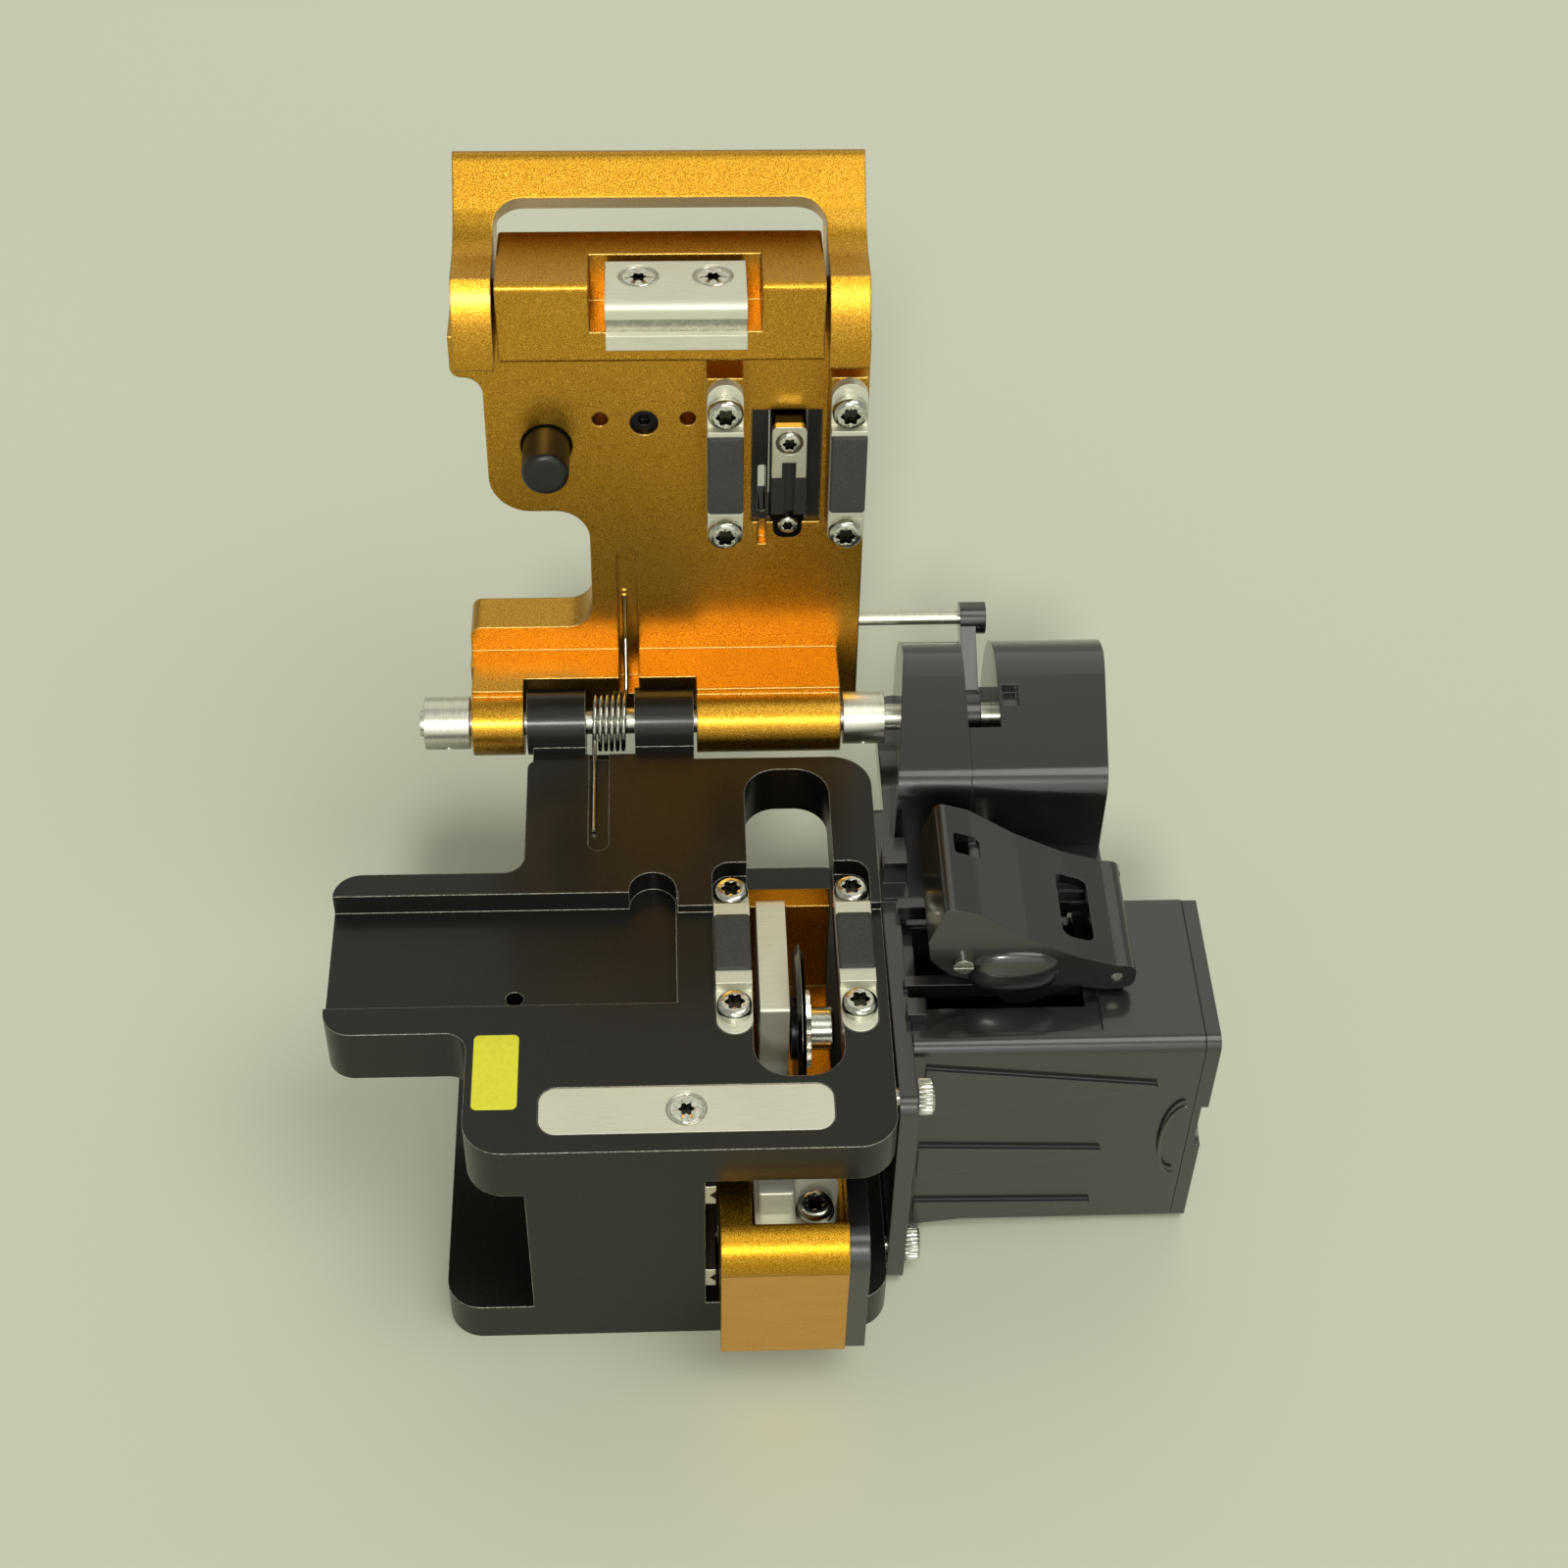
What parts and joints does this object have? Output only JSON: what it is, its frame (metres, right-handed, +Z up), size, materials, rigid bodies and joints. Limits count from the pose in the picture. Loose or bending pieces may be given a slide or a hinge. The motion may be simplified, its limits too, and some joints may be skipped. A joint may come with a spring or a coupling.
{
  "type": "fibre cleaver",
  "caption": "Bench fibre cleaver: hinged lid with bail handle, clamps and anvil, sliding wheel blade, tray deck and side bin with feed rollers.",
  "frame": {"origin": "centre of the foot's flat underside", "axes": "+Z up, +Y to the hinge at the back, +X to the off-cut bin on the right; the user stands at -Y"},
  "size_m": [0.1252, 0.1222, 0.1284],
  "materials": {
    "black_anodised": "satin black anodised aluminium",
    "gold_anodised": "bead-blasted gold anodised aluminium",
    "steel": "ground steel",
    "screw_steel": "bright plated steel",
    "blade_carbide": "dark polished carbide",
    "spring_steel": "bright spring wire",
    "magnet_nickel": "nickel plating",
    "rubber": "matte dark rubber",
    "black_steel": "blackened steel",
    "black_plastic": "half-gloss black plastic"
  },
  "bodies": {
    "base": {"base_block": "black_anodised", "strike_plate": "steel", "strike_plate_screw": "screw_steel", "lower_clamp_bars": "steel", "lower_clamp_pads": "rubber", "lower_clamp_screws": "screw_steel", "lower_clamp_washers": "screw_steel", "guide_rails_fixed": "steel", "hinge_pin": "steel", "hinge_collars": "steel", "collar_set_screws": "screw_steel", "torsion_spring": "spring_steel", "collector_frame": "black_plastic", "thumbscrews": "black_plastic", "bin_body": "black_plastic", "bin_door_pin": "steel", "drive_housing_left": "black_plastic", "drive_housing_right": "black_plastic"},
    "lid": {"lid_plate": "gold_anodised", "lid_handle": "gold_anodised", "magnet_poles": "steel", "magnet": "magnet_nickel", "magnet_screws": "screw_steel", "upper_clamp_bars": "steel", "upper_clamp_pads": "rubber", "upper_clamp_screws": "screw_steel", "upper_clamp_washers": "screw_steel", "anvil_frame": "black_anodised", "adjusting_screw": "black_steel", "drive_rod": "steel", "drive_arm": "black_plastic"},
    "plunger": {"rubber_plunger": "rubber"},
    "anvil": {"anvil_holder": "steel", "anvil_pad": "rubber", "anvil_screws": "screw_steel"},
    "slider": {"slider_body": "gold_anodised", "guide_rails_moving": "steel", "blade_bracket": "steel", "bracket_screw": "screw_steel", "bracket_washer": "screw_steel", "side_cap": "black_plastic"},
    "blade": {"blade_disc": "blade_carbide", "blade_mount": "black_steel", "ratchet_gear": "screw_steel", "blade_hub": "screw_steel"},
    "cover": {"cover_pin": "steel", "collector_cover": "black_plastic", "cover_screw": "screw_steel"},
    "pinch": {"pinch_roller": "rubber", "pinch_axle": "steel"},
    "feed": {"feed_roller": "rubber", "feed_shaft": "steel"},
    "door": {"bin_door": "black_plastic"}
  },
  "joints": [
    {"name": "lid_hinge", "type": "hinge", "parent": "base", "child": "lid", "pos_m": [0.0053, 0.03675, 0.0474], "axis": [1, 0, 0], "range_deg": [0, 95], "stiffness_Nm_per_rad": 0.04, "deforming": ["torsion_spring"]},
    {"name": "plunger_slide", "type": "slide", "parent": "lid", "child": "plunger", "axis": [0, 0.9962, -0.0872], "range_m": [0, 0.0026], "stiffness_N_per_m": 300},
    {"name": "anvil_slide", "type": "slide", "parent": "lid", "child": "anvil", "axis": [0, -0.9962, 0.0872], "range_m": [0, 0.0054], "stiffness_N_per_m": 200},
    {"name": "slider_slide", "type": "slide", "parent": "base", "child": "slider", "axis": [0, 1, 0], "range_m": [0, 0.015]},
    {"name": "blade_spin", "type": "hinge", "parent": "slider", "child": "blade", "pos_m": [0.0192, -0.01345, 0.0351], "axis": [1, 0, 0], "continuous": true},
    {"name": "cover_hinge", "type": "hinge", "parent": "base", "child": "cover", "pos_m": [0.0637, -0.00525, 0.0467], "axis": [0, 1, 0], "range_deg": [0, 75]},
    {"name": "pinch_spin", "type": "hinge", "parent": "cover", "child": "pinch", "pos_m": [0.0536, -0.00525, 0.0476], "axis": [0, 1, 0], "continuous": true},
    {"name": "feed_spin", "type": "hinge", "parent": "base", "child": "feed", "pos_m": [0.0479, -0.00525, 0.0442], "axis": [0, 1, 0], "range_deg": [0, 285]},
    {"name": "door_hinge", "type": "hinge", "parent": "base", "child": "door", "pos_m": [0.0767, 0.00475, 0.022], "axis": [0, 0, 1], "range_deg": [0, 100]}
  ],
  "couplings": [
    {"joint": "feed_spin", "follows": "lid_hinge", "ratio": 3}
  ]
}
